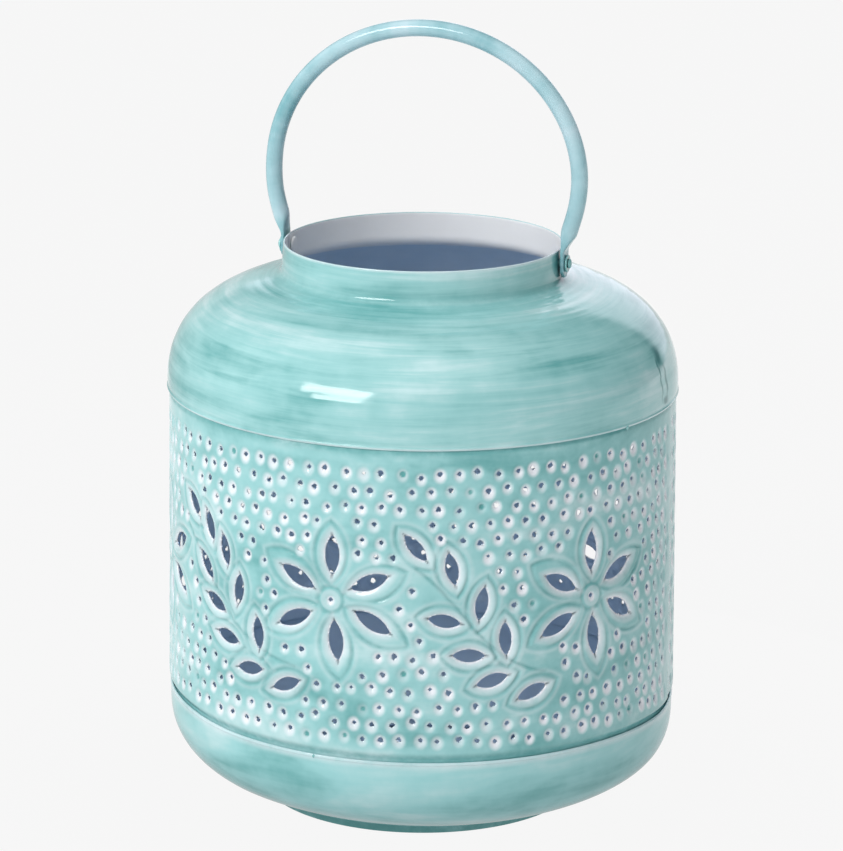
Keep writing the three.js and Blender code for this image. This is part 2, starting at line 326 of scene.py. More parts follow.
def enamel(name, deep=DEEP, aqua=AQUA, pale=PALE, streaks=1.0, blotches=1.0, grain=1.0, roughness=0.09):
    """Glossy hand-brushed enamel: soft patches, streaks round the body, a slightly uneven skin.

    The run attribute is the distance along the turned profile, so streaks follow the rings.
    Where the worn-enamel attribute is set the enamel is worn to white, and in places a highlight is painted;
    where the pooled-enamel attribute is set it lies thick, and in places shade is painted; where the
    dark-crease attribute is set a dark crease shows, and in places a shadow is painted.
    """
    n = MaterialNodes(name)
    place = n.add("ShaderNodeTexCoord", {}, output=3)
    x, y, _ = n.split(place)
    run = n.attribute("run")
    around = n.add("ShaderNodeCombineXYZ", {"X": x, "Y": y, "Z": run})
    wide = n.add("ShaderNodeMapping", {"Vector": around, "Scale": (13, 13, 42)})
    patches = n.noise(wide, 1.0, detail=3, roughness=0.5, distortion=0.8)
    long = n.add("ShaderNodeMapping", {"Vector": around, "Scale": (8, 8, 150)})
    brushed = n.noise(long, 1.0, detail=6, roughness=0.62, distortion=0.4)
    cloudy = n.noise(place, 75, detail=3, roughness=0.6)
    tone = n.math("MULTIPLY", n.math("SUBTRACT", patches, 0.5), 1.4 * blotches)
    tone = n.math("ADD", tone, n.math("MULTIPLY", n.math("SUBTRACT", brushed, 0.5), 1.1 * streaks))
    tone = n.math("ADD", tone, n.math("MULTIPLY", n.math("SUBTRACT", cloudy, 0.5), 0.8 * grain))
    darker = n.remap(tone, 0.10, -0.55)
    lighter = n.remap(tone, 0.0, 0.55)
    colour = n.mix(darker, aqua, deep)
    colour = n.mix(lighter, colour, pale)
    pool = n.attribute("pool")
    thin_and_lit = n.attribute("thin_and_lit")
    uneven = n.noise(place, 240, detail=3, roughness=0.6)
    # Painted shade joins the pooled enamel here, painted highlight joins the worn enamel, and a painted
    # shadow joins the dark creases.
    colour = n.mix(n.math("MULTIPLY", pool, n.remap(uneven, 0.2, 0.7, 0.35, 1.0), clamp=True), colour, deep)
    bare_and_lit = n.math("MULTIPLY", thin_and_lit, n.remap(uneven, 0.2, 0.62, 0.62, 1.0), clamp=True)
    colour = n.mix(bare_and_lit, colour, WHITE)
    colour = n.mix(n.attribute("slit_and_shadow"), colour, CREASE)
    n.link(colour, n.shader.inputs["Base Color"])
    gloss = n.remap(n.noise(place, 38, detail=4), 0.3, 0.75, roughness * 0.7, roughness * 1.7)
    n.link(gloss, n.shader.inputs["Roughness"])
    n.shader.inputs["IOR"].default_value = 1.52
    skin = n.bump(n.noise(place, 210, detail=2), 0.00006, 0.35)
    rings = n.add("ShaderNodeMapping", {"Vector": around, "Scale": (9, 9, 260)})
    normal = n.bump(n.noise(rings, 1.0, detail=2), 0.00012, 0.2 * streaks + 0.05, skin)
    n.link(normal, n.shader.inputs["Normal"])
    return n.material


def inner_enamel(name):
    """The inside: one paint, given in the body as a darker blue-grey copy that is painted shade, and in the
    neck as a lit whitish copy.
    """
    n = MaterialNodes(name)
    place = n.add("ShaderNodeTexCoord", {}, output=3)
    _, _, z = n.split(place)
    cloudy = n.noise(place, 30, detail=4, roughness=0.6)
    inside_in_shade = n.mix(n.remap(cloudy, 0.3, 0.7), *SHADED_INSIDE)
    neck = n.mix(n.remap(cloudy, 0.3, 0.7), *LIT_NECK_INSIDE)
    uneven = n.math("MULTIPLY", n.math("SUBTRACT", n.noise(place, 90), 0.5), 0.006)
    height = n.math("ADD", z, uneven)
    # Painted shade below this height, and the lit copy of the same paint above it.
    colour = n.mix(n.remap(height, (LIT_NECK_Z - 0.4) * MM, (LIT_NECK_Z + 2.2) * MM), inside_in_shade, neck)
    colour = n.mix(n.attribute("slit_and_shadow"), colour, INNER_CREASE)
    n.link(colour, n.shader.inputs["Base Color"])
    n.link(n.remap(cloudy, 0.2, 0.8, 0.32, 0.5), n.shader.inputs["Roughness"])
    n.link(n.bump(n.noise(place, 160, detail=3), 0.0001, 0.3), n.shader.inputs["Normal"])
    return n.material


# ---------------------------------------------------------------- turned shells
def shell_loop(outer):
    """A closed wall section from its outer line, with rounded edges at both ends.

    Returns the points, and for each whether it lies on the outer face.
    """
    outer = np.array(outer, float)
    normal = normals_of(outer)
    middle = outer - normal * SHEET / 2
    half = SHEET / 2
    bend = np.linspace(0, math.pi, CAP_POINTS + 2)[1:-1]
    along_end = np.array([-normal[-1, 1], normal[-1, 0]])
    along_start = -np.array([-normal[0, 1], normal[0, 0]])
    cap_end = [middle[-1] + half * (np.cos(b) * normal[-1] + np.sin(b) * along_end) for b in bend]
    cap_start = [middle[0] + half * (-np.cos(b) * normal[0] + np.sin(b) * along_start) for b in bend]
    inner = (middle - normal * half)[::-1]
    points = np.concatenate([middle + normal * half, cap_end, inner, cap_start])
    outside = np.zeros(len(points), bool)
    outside[: len(outer) + CAP_POINTS] = True
    outside[-CAP_POINTS:] = True
    return points, outside


def inner_joint(angle, z):
    """The line inside the neck, beside the left rivet, where the neck's sheet is joined."""
    arc = (angle - (TAU + NECK_JOINT)) * RIM_R
    return 0.85 * np.exp(-((arc / 0.45) ** 2)) * smooth(LIT_NECK_Z, LIT_NECK_Z + 2, z)


def turned_shell(name, outer, columns, ripple, tints, drift):
    """A spun shell: its section turned about Z, with shallow rings left by the spinning.

    ripple gives how far the outer face stands out, drift how far the sheet is moved up, and
    tints the worn-enamel, pooled-enamel and dark-crease attributes of the outer face, which also carry
    painted shade and painted shadow.
    """
    section, outside = shell_loop(outer)
    rows = len(section)
    angle = np.arange(columns) * TAU / columns
    run = np.concatenate([[0], np.cumsum(np.hypot(*np.diff(section, axis=0).T))])
    normal = normals_of(np.vstack([section[-1:], section, section[:1]]))[1:-1]
    lift = ripple(angle[None, :], run[:, None], section[:, 1][:, None]) * outside[:, None]
    r = section[:, 0][:, None] + lift * normal[:, 0][:, None]
    z = section[:, 1][:, None] + lift * normal[:, 1][:, None]
    z = z + drift(angle[None, :], section[:, 1][:, None])
    x, y = direction(angle)
    points = np.stack([r * x, r * y, np.broadcast_to(z, r.shape)], -1).reshape(-1, 3)
    quads = grid_quads(rows, columns, closed_rows=True)
    slots = np.repeat(np.where(outside, 0, 1), columns)
    runs = np.broadcast_to(run[:, None] * MM, r.shape)
    tinted = tints(angle[None, :], section[:, 1:])
    thin_and_lit, pool, slit_and_shadow = (np.broadcast_to(t * outside[:, None], r.shape) for t in tinted)
    slit_and_shadow = np.where(outside[:, None], slit_and_shadow, inner_joint(angle[None, :], section[:, 1:]))
    fields = {"run": runs, "thin_and_lit": thin_and_lit, "pool": pool, "slit_and_shadow": slit_and_shadow}
    return mesh_object(name, points, quads, attributes=fields, slots=slots)


def top_shell_outline():
    lip = [(SHELL_R, TOP_SEAM), (SHELL_R, TOP_SEAM + 3.5)]
    shoulder = cubic([(SHELL_R, 168), (SHELL_R - 0.1, 190), (87, 202.6), (62.5, 208)], 90)
    fillet = cubic([(62.5, 208), (57.2, 209.3), (55.6, 210.0), (NECK_BASE_R, 213.2)], 16)
    neck = [(NECK_BASE_R, 214), (RIM_R, RIM_Z)]
    line = respaced(np.vstack([lip, shoulder[1:], fillet[1:], neck]), OUTLINE_STEP)
    edge = respaced(line[:5], 0.14)
    return np.vstack([edge[:-1], line[4:]])


def top_shell():
    def ripple(angle, run, z):
        near_neck = np.exp(-(((z - 206) / 5.0) ** 2))
        rings = 0.085 * waves(angle, run, 5) + 0.055 * waves(angle, run, 8, 6, (2.2, 4.5))
        rings = rings + 0.18 * near_neck * waves(angle, run, 6, 5, (2.5, 5))
        bead = 0.26 * np.exp(-(((z - TOP_SEAM - 0.45) / 0.32) ** 2))
        groove = -0.10 * np.exp(-(((z - TOP_SEAM - 1.5) / 0.5) ** 2))
        burr = 0.10 * smooth(RIM_Z - 0.8, RIM_Z, z) * waves(angle, run * 0, 9, 9)
        return rings * smooth(TOP_SEAM + 1, TOP_SEAM + 4, z) + bead + groove + burr

    def drift(angle, z):
        return stray(UPPER_STRAY, angle) * smooth(TOP_SEAM + 24, TOP_SEAM, z)

    def tints(angle, z):
        lip = smooth(TOP_SEAM + 0.75, TOP_SEAM + 0.2, z)
        rim = smooth(RIM_Z - 0.5, RIM_Z - 0.15, z)
        crease = np.exp(-(((z - 210.5) / 2.2) ** 2)) * 0.35
        from_ear = NECK_BASE_R * np.arccos(np.clip(np.abs(np.sin(angle)), 0, 1))
        # Painted shadow: the neck's base is darkened beside and below each ear, where the ear shades it.
        painted_ear_shadow = 1.25 * np.exp(-((from_ear / 6.5) ** 2)) * smooth(208.5, 211.5, z)
        # Painted shade: the neck is darkened just under the rim, most on the side facing away from the key
        # light.
        painted_collar_shade = 0.55 * np.exp(-(((z - RIM_Z + 3) / 2.2) ** 2)) * (0.5 + 0.5 * np.sin(angle - 0.6)) ** 2
        runs = np.zeros(np.broadcast(angle, z).shape)
        for degrees, height, wide, tall in ENAMEL_RUNS:
            arc = (angle - math.radians(degrees)) * SHELL_R + 0.5 * np.sin(z * 0.9)
            runs += 1.6 * np.exp(-((arc / wide) ** 2) ** 1.5 - (((z - height) / tall) ** 2) ** 1.5)
        # Painted shadow: a dark line on the neck beside each ear stands for the shade in the gap between
        # neck and ear; the enamel runs add real dark edges to it.
        gap = 0.9 * np.exp(-((from_ear / 4.2) ** 2)) * smooth(209.5, 211.5, z) + 0.3 * runs
        return np.maximum(0.45 * lip, 0.5 * rim), crease + painted_ear_shadow + painted_collar_shade + runs, gap

    outer = top_shell_outline()
    piece = turned_shell("top_shell_enamelled", outer, TOP_SHELL_COLUMNS, ripple, tints, drift)
    piece.data.materials.append(enamel("shell_enamel", streaks=1.35, blotches=1.0, grain=0.5))
    piece.data.materials.append(inner_enamel("inner_enamel_top"))
    return piece


def bottom_shell():
    floor = [(1.0, 0.0), (FOOT_R - 1.0, 0.0), (FOOT_R - 0.68, 0.12), (FOOT_R - 0.55, 0.4)]
    wall = [(FOOT_R - 0.02, FOOT_TOP - 0.9), (FOOT_R + 0.12, FOOT_TOP - 0.3)]
    dish = cubic([(FOOT_R + 0.6, FOOT_TOP), (93.8, 10.7), (SHELL_R, 21.7), (SHELL_R, 38.1)], 110)
    line = np.vstack([floor, wall, dish, [(SHELL_R, BOTTOM_SEAM - 1.2)]])
    line = respaced(line, OUTLINE_STEP)
    foot = respaced(floor[1:] + wall + [tuple(dish[0]), tuple(dish[4])], 0.12)
    spread = [(r, 0.0) for r in (1.0, 12, 24, 36, 48, 55)]
    rest = line[line[:, 1] > foot[-1, 1] + 0.4]
    edge = respaced([line[-1], (SHELL_R, BOTTOM_SEAM)], 0.16)
    outer = np.vstack([spread, foot, rest, edge[1:]])

    def ripple(angle, run, z):
        rings = 0.04 * waves(angle, run, 15) * smooth(5, 9, z)
        bead = 0.22 * np.exp(-(((z - BOTTOM_SEAM + 0.5) / 0.4) ** 2))
        return rings * smooth(BOTTOM_SEAM, BOTTOM_SEAM - 2, z) + bead

    def drift(angle, z):
        rise = np.clip((z - FOOT_TOP) / (BOTTOM_SEAM - FOOT_TOP), 0, 1)
        height = stray(LOWER_STRAY, angle)
        raised = stray(BOWL_STRAY, angle) * smooth(FOOT_TOP, FOOT_TOP + 5, z)
        raised = raised * smooth(BOTTOM_SEAM - 6, BOTTOM_SEAM - 22, z)
        return height * np.where(height > 0, rise**0.4, rise) + raised

    def tints(angle, z):
        lip = smooth(BOTTOM_SEAM - 3.5, BOTTOM_SEAM - 0.6, z)
        # Painted shade: the foot ring and underside are darkened where the floor would shade them.
        foot = smooth(FOOT_TOP + 0.6, FOOT_TOP - 0.5, z)
        return 0.45 * lip, 0.9 * foot, np.zeros_like(foot)

    piece = turned_shell("bottom_shell_enamelled", outer, BOTTOM_SHELL_COLUMNS, ripple, tints, drift)
    coat = enamel("bowl_enamel", aqua=BOWL_AQUA, streaks=0.3, blotches=1.5, grain=0.5)
    piece.data.materials.append(coat)
    piece.data.materials.append(inner_enamel("inner_enamel_bottom"))
    return piece


# ---------------------------------------------------------------- the pierced pattern
# Petals: reach of the opening's middle, its direction and tilt, and the tip of the outline.
PETALS = (
    (17.3, 89, 90, 30.5, 90),
    (16.9, 27, 22, 32.0, 23),
    (18.0, -25, -30, 34.0, -28),
    (15.8, -83, -84, 31.0, -83),
    (17.9, 210, 25, 32.5, 207.5),
    (15.8, 153, -27, 31.7, 150),
)
# Leaves beside a flower: round the band, up, tilt; as the CAD band's openings.
SHORT_BRANCH = (
    (32.7, 21.8, -50), (46.5, 13.6, -78), (58.1, -0.4, 80), (67.6, -14.4, -87),
    (43.7, -6.5, -10), (53.2, -20, -3), (62.3, -30, 14), (78.7, -35.9, 20),
)
LONG_BRANCH = (
    (-73.4, 23.8, -42), (-61.3, 18.4, -66), (-51.1, 10.7, -75), (-43, -3.4, 84), (-32.7, -18.4, -84),
    (-63.6, 1.9, -48), (-57.1, -11.4, -20), (-49.5, -23.4, -8), (-36.9, -33.1, 8), (-19.3, -35.8, 22),
)
# Half length and half width of the cut openings and of their pressed outlines.
PETAL_SIZE = (7.9, 2.85)
PETAL_OUTLINE_WIDTH = 6.4
LEAF_SIZE = (6.5, 2.45)
LEAF_OUTLINE_SIZE = (11.0, 5.8)
RING_R = 5.1
OUTLINE_START = 6.2
SHORT_STEM = ((33, 14), (52, 0), (57, -22), (84, -28.5))
LONG_STEM = ((-77, 15), (-58, 0), (-48, -24), (-15, -28))


def lens_distance(x, y, half_length, half_width):
    """Signed distance to a pointed lens, negative inside."""
    radius = (half_length**2 + half_width**2) / (2 * half_width)
    return np.hypot(x, np.abs(y) + radius - half_width) - radius


def turned_to(du, dz, degrees):
    """Coordinates along and across a shape tilted by degrees, from those relative to its centre."""
    c, s = math.cos(math.radians(degrees)), math.sin(math.radians(degrees))
    return du * c + dz * s, dz * c - du * s


class Openings:
    """Every pointed opening of the band with its pressed outline."""

    def __init__(self):
        self.lenses = []
        self.outlines = []
        self.stems = []
        self.rings = []
        for k in range(3):
            turn = FIRST_FLOWER + k * REPEAT
            high, low = FLOWER_Z + FLOWER_STAGGER, FLOWER_Z - FLOWER_STAGGER
            self.flower(turn * BAND_R, high)
            self.flower((turn + REPEAT / 2) * BAND_R, low)
            self.branch(SHORT_BRANCH, SHORT_STEM, turn * BAND_R, high)
            if not turn - REPEAT / 2 < JOINT < turn:
                self.branch(LONG_BRANCH, LONG_STEM, turn * BAND_R, high)

    def flower(self, u, z):
        self.rings.append((u, z, RING_R))
        for reach, towards, tilt, tip, lean in PETALS:
            a, b = math.radians(towards), math.radians(lean)
            self.lenses.append((u + reach * math.cos(a), z + reach * math.sin(a), tilt, *PETAL_SIZE))
            middle, half = (tip + OUTLINE_START) / 2, (tip - OUTLINE_START) / 2
            place = u + middle * math.cos(b), z + middle * math.sin(b)
            self.outlines.append((*place, lean, half, PETAL_OUTLINE_WIDTH))

    def branch(self, leaves, stem, u, z):
        for du, dz, tilt in leaves:
            self.lenses.append((u + du, z + dz, tilt, *LEAF_SIZE))
            self.outlines.append((u + du, z + dz, tilt, *LEAF_OUTLINE_SIZE))
        self.stems.append(cubic(stem, 40) + np.array((u, z)))


class BandField:
    """Depth pressed into the band, the openings cut through it, where its enamel is worn or lies thick, and
    the painted highlight and shade laid in with them.
    """

    def __init__(self, u, z):
        self.u, self.z = u, z
        self.length = TAU * BAND_R
        self.depth = np.zeros(u.shape)
        self.hole = np.full(u.shape, 9.0)
        self.thin_and_lit = np.zeros(u.shape)
        self.pool = np.zeros(u.shape)
        self.slit_and_shadow = np.zeros(u.shape)
        self.motif = np.full(u.shape, 99.0)

    def window(self, u, z, reach):
        """Rows and columns of the grid within reach of a point, and their places relative to it."""
        columns = self.u.shape[1]
        pitch = self.length / columns
        first = int(math.floor((u - reach) / pitch))
        count = int(math.ceil(2 * reach / pitch)) + 2
        j = (first + np.arange(count)) % columns
        heights = self.z[:, 0]
        i = np.nonzero(np.abs(heights - z) < reach + 0.6)[0]
        cell = np.ix_(i, j)
        du = (self.u[cell] - u + self.length / 2) % self.length - self.length / 2
        return cell, du, self.z[cell] - z

    def press_lens(self, lens):
        u, z, tilt, half_length, half_width = lens
        cell, du, dz = self.window(u, z, half_length + 6)
        x, y = turned_to(du, dz, tilt)
        gap = lens_distance(x, y, half_length, half_width)
        self.hole[cell] = np.minimum(self.hole[cell], gap)
        edge = np.clip(1 - np.maximum(gap, 0) / 2.8, 0, 1)
        self.depth[cell] = np.maximum(self.depth[cell], 1.1 * edge**1.8)
        worn = 0.8 * np.clip(1 - gap / 3.6, 0, 1) ** 1.1 + 0.3 * smooth(0.7, 0.3, gap)
        self.thin_and_lit[cell] = np.maximum(self.thin_and_lit[cell], worn)
        beyond = np.maximum(np.abs(x) - half_length, 0)
        mark = np.exp(-((y / 0.34) ** 2)) * smooth(1.8, 0.4, beyond) * (np.abs(x) > half_length - 1.0)
        self.slit_and_shadow[cell] = np.maximum(self.slit_and_shadow[cell], mark)

    def press_ring(self, ring):
        u, z, radius = ring
        cell, du, dz = self.window(u, z, radius + 4)
        gap = np.hypot(du, dz) - radius
        self.motif[cell] = np.minimum(self.motif[cell], gap)
        crease = np.exp(-((gap / 0.8) ** 2))
        self.depth[cell] = self.depth[cell] * smooth(-0.6, 0.4, gap) + 0.5 * crease
        self.depth[cell] -= 0.25 * smooth(-0.4, -2.4, gap)
        self.pool[cell] = np.maximum(self.pool[cell] * smooth(-0.6, 0.4, gap), 0.8 * crease)
        self.thin_and_lit[cell] = np.maximum(self.thin_and_lit[cell] * smooth(-0.6, 0.4, gap), 0.3 * smooth(-0.6, -1.6, gap))

    def press_outline(self, outline):
        u, z, tilt, half_length, half_width = outline
        cell, du, dz = self.window(u, z, half_length + 3)
        x, y = turned_to(du, dz, tilt)
        gap = lens_distance(x, y, half_length, half_width)
        self.motif[cell] = np.minimum(self.motif[cell], gap)
        firm = 0.72 + 0.28 * np.sin(0.23 * u + 0.31 * x + 1.7 * np.sign(y))
        crease = firm * np.exp(-((gap / 0.8) ** 2))
        inside = smooth(0.2, -2.2, gap)
        self.depth[cell] += 0.65 * crease - 0.3 * inside - 0.12 * np.exp(-(((gap - 1.6) / 0.9) ** 2))
        self.pool[cell] = np.maximum(self.pool[cell], 0.7 * firm * np.exp(-((gap / 0.85) ** 2)))
        ridge = 0.2 * np.exp(-(((gap - 1.6) / 0.9) ** 2))
        self.thin_and_lit[cell] = np.maximum(self.thin_and_lit[cell], ridge)

    def press_line(self, line, width=0.62, depth=0.4):
        centre = line[len(line) // 2]
        reach = np.abs(line - centre).max() + 4
        cell, du, dz = self.window(centre[0], centre[1], reach)
        gap = np.full(du.shape, 99.0)
        for a, b in zip(line[:-1] - centre, line[1:] - centre):
            span = b - a
            t = np.clip(((du - a[0]) * span[0] + (dz - a[1]) * span[1]) / (span @ span), 0, 1)
            gap = np.minimum(gap, np.hypot(du - a[0] - t * span[0], dz - a[1] - t * span[1]))
        self.motif[cell] = np.minimum(self.motif[cell], gap - 0.8)
        self.depth[cell] += depth * np.exp(-((gap / width) ** 2))
        self.pool[cell] = np.maximum(self.pool[cell], np.exp(-((gap / 0.7) ** 2)))

    def press_pit(self, pit):
        u, z, size, deep, hole, lobes, clogged, worn = pit
        cell, du, dz = self.window(u, z, 5.2)
        rho = np.hypot(du, dz)
        phi = np.arctan2(dz, du)
        rim = hole * (1 + sum(a * np.cos(k * phi + p) for k, a, p in lobes))
        slope = np.clip(1 - rho / (3.1 * size), 0, 1) ** 1.3
        self.depth[cell] = np.maximum(self.depth[cell], deep * 2.1 * slope)
        # The white ring is thin enamel round the hole, moved down as a painted highlight on the pit's lower
        # wall, which faces the light.
        lit_halo_reach = np.hypot(du, (dz + 0.45) * 0.88)
        bright = worn * smooth(2.9 * size, 1.1 * size, lit_halo_reach)
        if clogged:
            self.pool[cell] = np.maximum(self.pool[cell], smooth(hole + 0.5, hole - 0.3, rho) * 1.2)
            bright = bright * 0.5 * smooth(hole - 0.2, hole + 0.4, rho)
        else:
            self.hole[cell] = np.minimum(self.hole[cell], rho - rim)
        self.thin_and_lit[cell] = np.maximum(self.thin_and_lit[cell], bright)


def pin_pits(openings):
    """Rows of punched pits all round, kept clear of the flowers and branches."""
    per_row = int(round(TAU * BAND_R / PIT_PITCH))
    lowest = 40
    grid_u, grid_z = np.meshgrid(np.arange(0, TAU * BAND_R, 1.0), np.arange(lowest, 170, 1.0))
    clear = BandField(grid_u, grid_z)
    for outline in openings.outlines:
        clear.press_outline(outline)
    for ring in openings.rings:
        clear.press_ring(ring)
    for stem in openings.stems:
        clear.press_line(stem)
    from_joint = np.abs((grid_u / BAND_R - JOINT + math.pi) % TAU - math.pi) * BAND_R
    clear.motif = np.minimum(clear.motif, from_joint - PIT_CLEARANCE)
    pits = [(u, z, 0.85, 0.6, 0.9, [(2, 0.05, 0.3)], False, 1.0) for u, z, _ in openings.rings]
    for row in range(PIT_ROWS):
        z0 = PIT_LOW + (PIT_HIGH - PIT_LOW) * row / (PIT_ROWS - 1)
        shift = (row % 2) * 0.5 + random.uniform(-0.12, 0.12)
        for column in range(per_row):
            u = (column + shift + random.normal(0, 0.085)) * TAU * BAND_R / per_row
            z = z0 + random.normal(0, 0.55)
            size, deep = random.uniform(0.88, 1.14), random.uniform(0.5, 0.75)
            hole = random.uniform(0.78, 1.12)
            reach = ((2, 0.12), (3, 0.24), (4, 0.14), (5, 0.08))
            lobes = [(k, a * random.uniform(0.2, 1), random.uniform(0, TAU)) for k, a in reach]
            clogged = random.uniform() < 0.07
            worn = random.uniform(0.5, 1.1)
            i = int(np.clip(round(z) - lowest, 0, grid_z.shape[0] - 1))
            j = int(round(u)) % grid_u.shape[1]
            if clear.motif[i, j] > PIT_CLEARANCE:
                pits.append((u % (TAU * BAND_R), z, size, deep, hole, lobes, clogged, worn))
    return pits


def band_radius(z):
    """The band's radius: a slight flare, stepping in under both seams."""
    wall = np.interp(z, [BOTTOM_SEAM + 4.5, TOP_SEAM - 3], [BAND_BOTTOM_R - 0.05, BAND_TOP_R])
    top = smooth(TOP_SEAM - 2.6, TOP_SEAM + 0.2, z)
    bottom = smooth(BOTTOM_SEAM + 4.2, BOTTOM_SEAM + 0.6, z)
    return wall + (TUCK_R - wall) * np.maximum(top, bottom)


def press_all(field, openings, pits):
    for outline in openings.outlines:
        field.press_outline(outline)
    for stem in openings.stems:
        field.press_line(stem)
    for ring in openings.rings:
        field.press_ring(ring)
    for lens in openings.lenses:
        field.press_lens(lens)
    for pit in pits:
        field.press_pit(pit)
    return field


def snapped(field, u, z, step):
    """The grid with the points nearest an opening's edge moved onto it, and which points those are.

    step is the grid's spacing, round the band and up it.
    """
    across = (np.roll(field.hole, -1, 1) - np.roll(field.hole, 1, 1)) / (2 * step[0])
    up = np.gradient(field.hole, axis=0) / np.gradient(z, axis=0)
    steep = np.maximum(across**2 + up**2, 0.25)
    near = np.abs(field.hole) < 0.56 * max(step)
    shift = np.where(near, -field.hole / steep, 0)
    return u + shift * across, z + shift * up, near


def perforated_band():
    heights = np.concatenate([
        np.arange(BAND_LOW, BOTTOM_SEAM - 0.6, 1.2),
        np.arange(BOTTOM_SEAM - 0.4, 49, 0.42),
        np.arange(49, 159.4, BAND_STEP),
        np.arange(159.5, TOP_SEAM + 0.8, 0.42),
        np.linspace(TOP_SEAM + 1.2, BAND_HIGH, 4),
    ])
    pitch = TAU * BAND_R / BAND_COLUMNS
    u, z = np.meshgrid(np.arange(BAND_COLUMNS) * pitch, heights)
    openings = Openings()
    pits = pin_pits(openings)
    first = press_all(BandField(u, z), openings, pits)
    moved_u, moved_z, near = snapped(first, u, z, (pitch, BAND_STEP))
    final = press_again(first, moved_u, moved_z, openings, pits)
    angle = final.u / BAND_R
    dents = 0.10 * waves(angle, final.z, 31, 6, (25, 60))
    past_joint = ((angle - JOINT) % TAU) * BAND_R
    lap = 0.55 * smooth(0, 0.5, past_joint) * smooth(16, 3, past_joint)
    joint_line = np.exp(-(((past_joint - 0.6) / 0.5) ** 2))
    final.pool = np.maximum(final.pool, 0.9 * joint_line)
    # Painted shade and highlight: on the side away from the key light, the ground between pits is darkened
    # and their white rings are made whiter.
    right = smooth(15, 60, np.degrees(angle)) * smooth(150, 110, np.degrees(angle))
    final.pool = np.maximum(final.pool, 0.36 * right * smooth(0.3, 0.02, final.thin_and_lit))
    final.thin_and_lit = final.thin_and_lit * (1 + 0.2 * right)
    radius = band_radius(final.z) - lap - final.depth - np.abs(dents) * smooth(48, 56, final.z)
    x, y = direction(angle)
    height = final.z + stray(LOWER_STRAY, angle) * smooth(118, 46, final.z)
    height = height + stray(UPPER_STRAY, angle) * smooth(140, 163, final.z)
    points = np.stack([radius * x, radius * y, height], -1).reshape(-1, 3)
    inside = ((first.hole < 0) & ~near).ravel()
    quads = grid_quads(len(heights), BAND_COLUMNS)
    flags = inside[quads]
    count = flags.sum(1)
    whole = quads[count == 0]
    cut = quads[count == 1]
    lost = np.argmax(inside[cut], axis=1)
    triangles = np.stack([cut[np.arange(len(cut)), (lost + k) % 4] for k in (1, 2, 3)], 1)
    # Painted shade: the band is darkened in the step above the lower seam and under the top shell's lip.
    lower_seam_shade = 0.75 * np.exp(-(((final.z - LOWER_SEAM_SHADE_Z) / 1.7) ** 2))
    upper_lip_shadow = 0.7 * np.exp(-(((final.z - UPPER_LIP_SHADOW_Z) / 1.6) ** 2))
    final.pool = np.maximum(final.pool, 0.9 * (lower_seam_shade + upper_lip_shadow))
    fields = {"thin_and_lit": final.thin_and_lit, "pool": final.pool, "slit_and_shadow": final.slit_and_shadow, "run": final.z * MM}
    points, whole, triangles, fields = without_loose(points, whole, triangles, fields)
    piece = mesh_object("perforated_band_pressed", points, whole, [triangles], attributes=fields)
    piece.data.materials.append(enamel("band_enamel", aqua=BAND_AQUA, streaks=0.25, blotches=1.35))
    piece.data.materials.append(inner_enamel("inner_enamel_band"))
    wall = piece.modifiers.new("sheet", "SOLIDIFY")
    wall.thickness = BAND_SHEET * MM
    wall.offset = -1
    wall.material_offset = 1
    return piece


def press_again(first, u, z, openings, pits):
    """The same pattern evaluated at the moved points."""
    field = BandField(u, z)
    field.window = lambda *place: relative(first, field, *place)
    return press_all(field, openings, pits)


def relative(first, field, u, z, reach):
    """The first grid's cells round a point, with the moved places of their corners relative to it."""
    cell, _, _ = BandField.window(first, u, z, reach)
    du = (field.u[cell] - u + field.length / 2) % field.length - field.length / 2
    return cell, du, field.z[cell] - z


def without_loose(points, quads, triangles, fields):
    """Drops the points that no face uses."""
    used = np.zeros(len(points), bool)
    used[quads.ravel()] = True
    used[triangles.ravel()] = True
    index = np.cumsum(used) - 1
    kept = {key: values.ravel()[used] for key, values in fields.items()}
    return points[used], index[quads], index[triangles], kept


# ---------------------------------------------------------------- handle
def handle_line():
    """The handle's middle line in the XZ plane from the right ear's end to the top."""
    leave = 0.22
    leg = np.array((ARCH_HALF_WIDTH * math.cos(leave), ARCH_CENTRE_Z - ARCH_HALF_HEIGHT * math.sin(leave)))
    slope = np.array((ARCH_HALF_WIDTH * math.sin(leave), ARCH_HALF_HEIGHT * math.cos(leave)))
    slope /= np.hypot(*slope)
    bend = cubic([(EAR_X, EAR_TOP - 1), (EAR_X, EAR_TOP + 3), leg - 5 * slope, leg], 40)
    angles = np.linspace(-leave, math.pi / 2, 120)
    arch = np.stack([
        ARCH_HALF_WIDTH * np.cos(angles),
        ARCH_CENTRE_Z + ARCH_HALF_HEIGHT * np.sin(angles),
    ], 1)
    half = respaced(np.vstack([[(EAR_X, EAR_END)], bend, arch[1:]]), 0.8)
    other = half[:-1][::-1] * np.array((-1, 1))
    return np.vstack([half, other])


